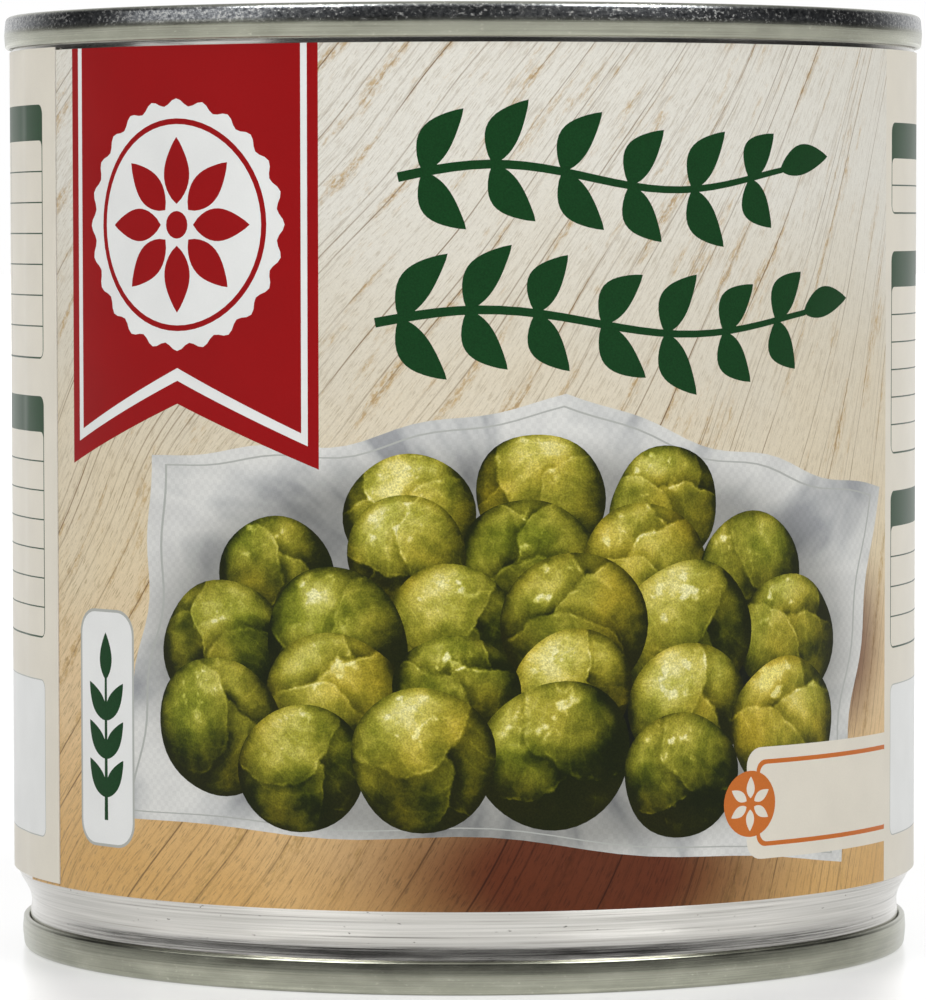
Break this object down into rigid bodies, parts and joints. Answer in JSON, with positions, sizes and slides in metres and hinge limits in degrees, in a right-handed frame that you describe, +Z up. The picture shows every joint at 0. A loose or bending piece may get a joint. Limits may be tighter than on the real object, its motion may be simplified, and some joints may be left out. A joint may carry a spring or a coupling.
{
  "type": "food can",
  "caption": "Round tinplate food can with a paper label, a necked-in base for stacking and an easy-open lid with a ring-pull tab.",
  "frame": {"origin": "centre of the can's base, on the surface it stands on", "axes": "+Z up along the can's axis; the front of the label faces -Y, +X is to the right as seen from the front"},
  "size_m": [0.0842, 0.0842, 0.0853],
  "materials": {
    "tinplate": "satin",
    "tab_steel": "satin",
    "seam_compound": "matte",
    "label_paper": "satin",
    "sprout_leaf": "satin"
  },
  "bodies": {
    "can": {"can_body": "tinplate", "top_end": "tinplate", "bottom_end": "tinplate", "top_compound": "seam_compound", "bottom_compound": "seam_compound", "tab_tongue": "tab_steel", "paper_label": "label_paper", "sprout_01": "sprout_leaf", "sprout_02": "sprout_leaf", "sprout_03": "sprout_leaf", "sprout_04": "sprout_leaf", "sprout_05": "sprout_leaf", "sprout_06": "sprout_leaf", "sprout_07": "sprout_leaf", "sprout_08": "sprout_leaf", "sprout_09": "sprout_leaf", "sprout_10": "sprout_leaf", "sprout_11": "sprout_leaf", "sprout_12": "sprout_leaf", "sprout_13": "sprout_leaf", "sprout_14": "sprout_leaf", "sprout_15": "sprout_leaf", "sprout_16": "sprout_leaf", "sprout_17": "sprout_leaf", "sprout_18": "sprout_leaf", "sprout_19": "sprout_leaf", "sprout_20": "sprout_leaf", "sprout_21": "sprout_leaf"},
    "tab": {"pull_tab": "tab_steel"}
  },
  "joints": [
    {"name": "tab_lift", "type": "hinge", "parent": "can", "child": "tab", "pos_m": [0, 0.034, 0.0816], "axis": [-1, 0, 0], "range_deg": [0, 14], "stiffness_Nm_per_rad": 0.6}
  ]
}
